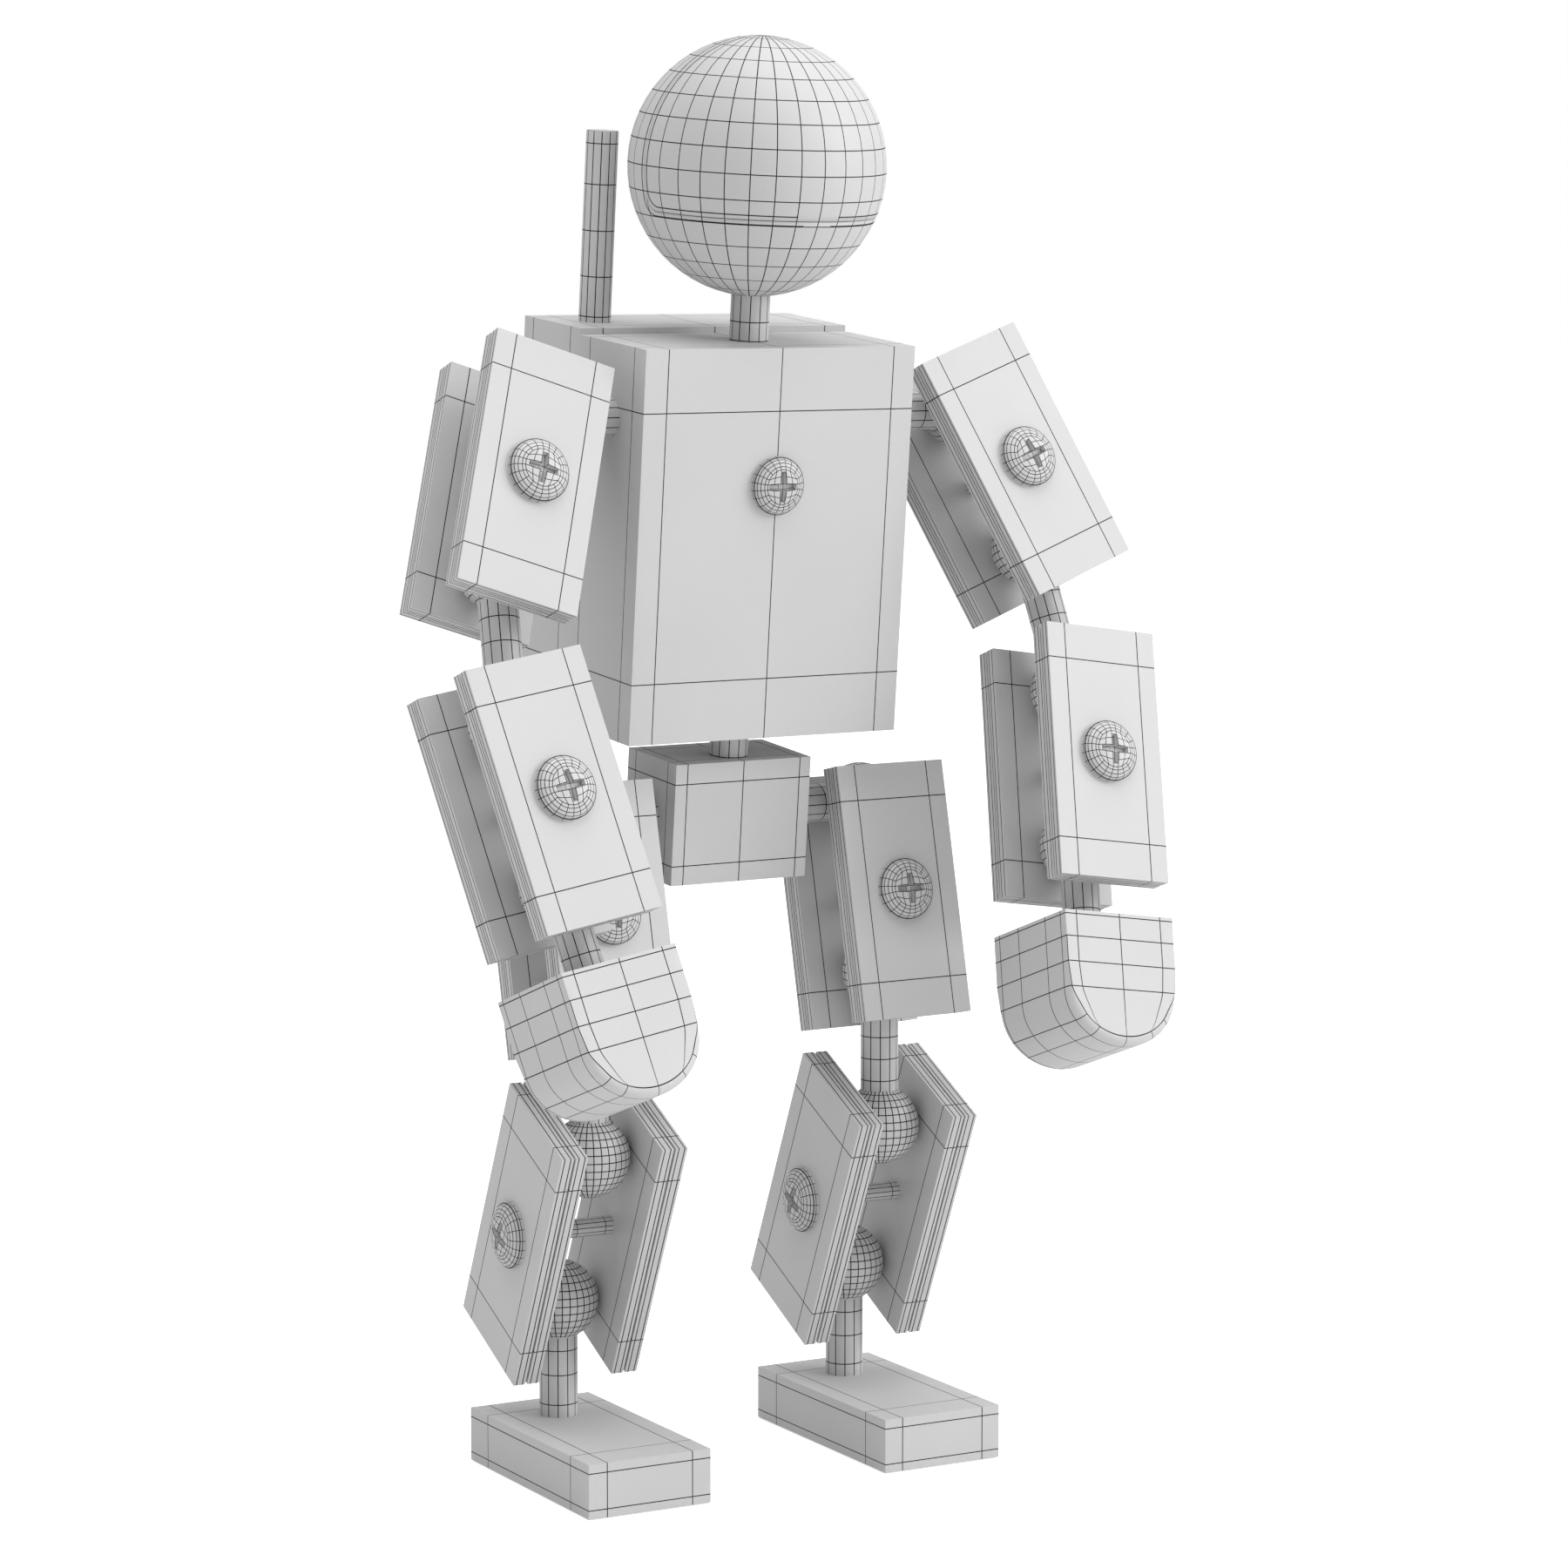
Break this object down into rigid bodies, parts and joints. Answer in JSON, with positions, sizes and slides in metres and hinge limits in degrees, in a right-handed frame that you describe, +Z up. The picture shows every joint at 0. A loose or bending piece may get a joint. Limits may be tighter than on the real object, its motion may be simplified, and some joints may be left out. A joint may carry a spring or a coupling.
{
  "type": "walking humanoid robot",
  "caption": "Jointed humanoid figure in a walking pose: box torso with rear housing and antenna, ball head, limbs of double-plate links clamped on ball-ended rods, mitten hands and block feet.",
  "frame": {"origin": "on the ground under the middle of the figure's box", "axes": "robot faces -Y; +Z up; +X to the robot's left"},
  "size_m": [0.1412, 0.0902, 0.2589],
  "materials": {
    "block": "matte",
    "plate": "matte",
    "head_shell": "matte",
    "rod": "satin",
    "screw_head": "satin",
    "fastener": "satin",
    "insert": "satin"
  },
  "bodies": {
    "torso": {"chest_block": "block", "rear_housing": "block", "antenna": "block", "chest_screw": "screw_head", "chest_insert": "insert", "rod_set_screws": "fastener"},
    "head": {"face_shell": "head_shell", "skull_shell": "head_shell", "neck_rod": "rod"},
    "pelvis": {"pelvis_block": "block", "waist_rod": "rod", "hip_set_screws": "fastener"},
    "right_shoulder_pivot": {"right_shoulder_rod": "rod"},
    "right_elbow_pivot": {"right_elbow_rod": "rod"},
    "right_hip_pivot": {"right_hip_rod": "rod"},
    "right_knee_pivot": {"right_knee_rod": "rod"},
    "right_upper_arm": {"right_upper_arm_outer_slabs": "plate", "right_upper_arm_inner_slabs": "plate", "right_upper_arm_clamp_screw": "screw_head", "right_upper_arm_clamp_nut": "fastener"},
    "right_forearm": {"right_forearm_outer_slabs": "plate", "right_forearm_inner_slabs": "plate", "right_forearm_clamp_screw": "screw_head", "right_forearm_clamp_nut": "fastener"},
    "right_thigh": {"right_thigh_outer_slabs": "plate", "right_thigh_inner_slabs": "plate", "right_thigh_clamp_screw": "screw_head", "right_thigh_clamp_nut": "fastener"},
    "right_shin": {"right_shin_outer_slabs": "plate", "right_shin_inner_slabs": "plate", "right_shin_clamp_screw": "screw_head", "right_shin_clamp_nut": "fastener"},
    "right_hand": {"right_wrist_rod": "rod", "right_hand": "block"},
    "right_foot": {"right_ankle_rod": "rod", "right_foot": "block"},
    "left_shoulder_pivot": {"left_shoulder_rod": "rod"},
    "left_elbow_pivot": {"left_elbow_rod": "rod"},
    "left_hip_pivot": {"left_hip_rod": "rod"},
    "left_knee_pivot": {"left_knee_rod": "rod"},
    "left_upper_arm": {"left_upper_arm_outer_slabs": "plate", "left_upper_arm_inner_slabs": "plate", "left_upper_arm_clamp_screw": "screw_head", "left_upper_arm_clamp_nut": "fastener"},
    "left_forearm": {"left_forearm_outer_slabs": "plate", "left_forearm_inner_slabs": "plate", "left_forearm_clamp_screw": "screw_head", "left_forearm_clamp_nut": "fastener"},
    "left_thigh": {"left_thigh_outer_slabs": "plate", "left_thigh_inner_slabs": "plate", "left_thigh_clamp_screw": "screw_head", "left_thigh_clamp_nut": "fastener"},
    "left_shin": {"left_shin_outer_slabs": "plate", "left_shin_inner_slabs": "plate", "left_shin_clamp_screw": "screw_head", "left_shin_clamp_nut": "fastener"},
    "left_hand": {"left_wrist_rod": "rod", "left_hand": "block"},
    "left_foot": {"left_ankle_rod": "rod", "left_foot": "block"}
  },
  "joints": [
    {"name": "neck_turn", "type": "hinge", "parent": "torso", "child": "head", "pos_m": [0, 0.00591, 0.20513], "axis": [0, -0.0958, 0.9954], "range_deg": [-90, 90]},
    {"name": "waist_turn", "type": "hinge", "parent": "torso", "child": "pelvis", "pos_m": [0, 0.01261, 0.13545], "axis": [0, -0.0958, 0.9954], "range_deg": [-30, 30]},
    {"name": "right_shoulder_swing", "type": "hinge", "parent": "torso", "child": "right_shoulder_pivot", "pos_m": [-0.0458, 0.00717, 0.19199], "axis": [-1, 0, 0], "range_deg": [-5, 150]},
    {"name": "right_arm_spread", "type": "hinge", "parent": "right_shoulder_pivot", "child": "right_upper_arm", "pos_m": [-0.0458, 0.00717, 0.19199], "axis": [0, 0.9421, -0.3355], "range_deg": [-10, 80]},
    {"name": "right_elbow_upper", "type": "hinge", "parent": "right_upper_arm", "child": "right_elbow_pivot", "pos_m": [-0.05542, -0.00179, 0.16682], "axis": [0, -0.9421, 0.3355], "range_deg": [-70, 15]},
    {"name": "right_elbow_lower", "type": "hinge", "parent": "right_elbow_pivot", "child": "right_forearm", "pos_m": [-0.05802, -0.01101, 0.14093], "axis": [0, 0.9421, -0.3355], "range_deg": [-20, 100]},
    {"name": "right_wrist_bend", "type": "hinge", "parent": "right_forearm", "child": "right_hand", "pos_m": [-0.0536, -0.02069, 0.11374], "axis": [0, 0.9421, -0.3355], "range_deg": [-75, 75]},
    {"name": "left_shoulder_swing", "type": "hinge", "parent": "torso", "child": "left_shoulder_pivot", "pos_m": [0.0458, 0.00717, 0.19199], "axis": [-1, 0, 0], "range_deg": [-5, 150]},
    {"name": "left_arm_spread", "type": "hinge", "parent": "left_shoulder_pivot", "child": "left_upper_arm", "pos_m": [0.0458, 0.00717, 0.19199], "axis": [0, -0.9421, 0.3355], "range_deg": [-10, 80]},
    {"name": "left_elbow_upper", "type": "hinge", "parent": "left_upper_arm", "child": "left_elbow_pivot", "pos_m": [0.05542, -0.00179, 0.16682], "axis": [0, 0.9421, -0.3355], "range_deg": [-70, 15]},
    {"name": "left_elbow_lower", "type": "hinge", "parent": "left_elbow_pivot", "child": "left_forearm", "pos_m": [0.05802, -0.01101, 0.14093], "axis": [0, -0.9421, 0.3355], "range_deg": [-20, 100]},
    {"name": "left_wrist_bend", "type": "hinge", "parent": "left_forearm", "child": "left_hand", "pos_m": [0.0536, -0.02069, 0.11374], "axis": [0, -0.9421, 0.3355], "range_deg": [-75, 75]},
    {"name": "right_hip_swing", "type": "hinge", "parent": "pelvis", "child": "right_hip_pivot", "pos_m": [-0.0308, 0.01724, 0.11972], "axis": [1, 0, 0], "range_deg": [-15, 60]},
    {"name": "right_hip_spread", "type": "hinge", "parent": "right_hip_pivot", "child": "right_thigh", "pos_m": [-0.0308, 0.01724, 0.11972], "axis": [0, 0.9759, -0.2181], "range_deg": [-5, 35]},
    {"name": "right_knee_sway", "type": "hinge", "parent": "right_thigh", "child": "right_knee_pivot", "pos_m": [-0.0308, 0.01026, 0.08849], "axis": [0, -0.9759, 0.2181], "range_deg": [-40, 8]},
    {"name": "right_knee_bend", "type": "hinge", "parent": "right_knee_pivot", "child": "right_shin", "pos_m": [-0.0308, 0.01026, 0.05969], "axis": [0.9982, -0.0593, 0], "range_deg": [-25, 75]},
    {"name": "right_ankle_bend", "type": "hinge", "parent": "right_shin", "child": "right_foot", "pos_m": [-0.03, 0.02369, 0.0311], "axis": [0.9982, -0.0593, 0], "range_deg": [-45, 45]},
    {"name": "left_hip_swing", "type": "hinge", "parent": "pelvis", "child": "left_hip_pivot", "pos_m": [0.0308, 0.01724, 0.11972], "axis": [1, 0, 0], "range_deg": [-15, 60]},
    {"name": "left_hip_spread", "type": "hinge", "parent": "left_hip_pivot", "child": "left_thigh", "pos_m": [0.0308, 0.01724, 0.11972], "axis": [0, -0.9759, 0.2181], "range_deg": [-5, 35]},
    {"name": "left_knee_sway", "type": "hinge", "parent": "left_thigh", "child": "left_knee_pivot", "pos_m": [0.0308, 0.01026, 0.08849], "axis": [0, 0.9759, -0.2181], "range_deg": [-40, 8]},
    {"name": "left_knee_bend", "type": "hinge", "parent": "left_knee_pivot", "child": "left_shin", "pos_m": [0.0308, 0.01026, 0.05969], "axis": [0.9982, -0.0593, 0], "range_deg": [-25, 75]},
    {"name": "left_ankle_bend", "type": "hinge", "parent": "left_shin", "child": "left_foot", "pos_m": [0.0316, 0.02369, 0.0311], "axis": [0.9982, -0.0593, 0], "range_deg": [-45, 45]}
  ]
}
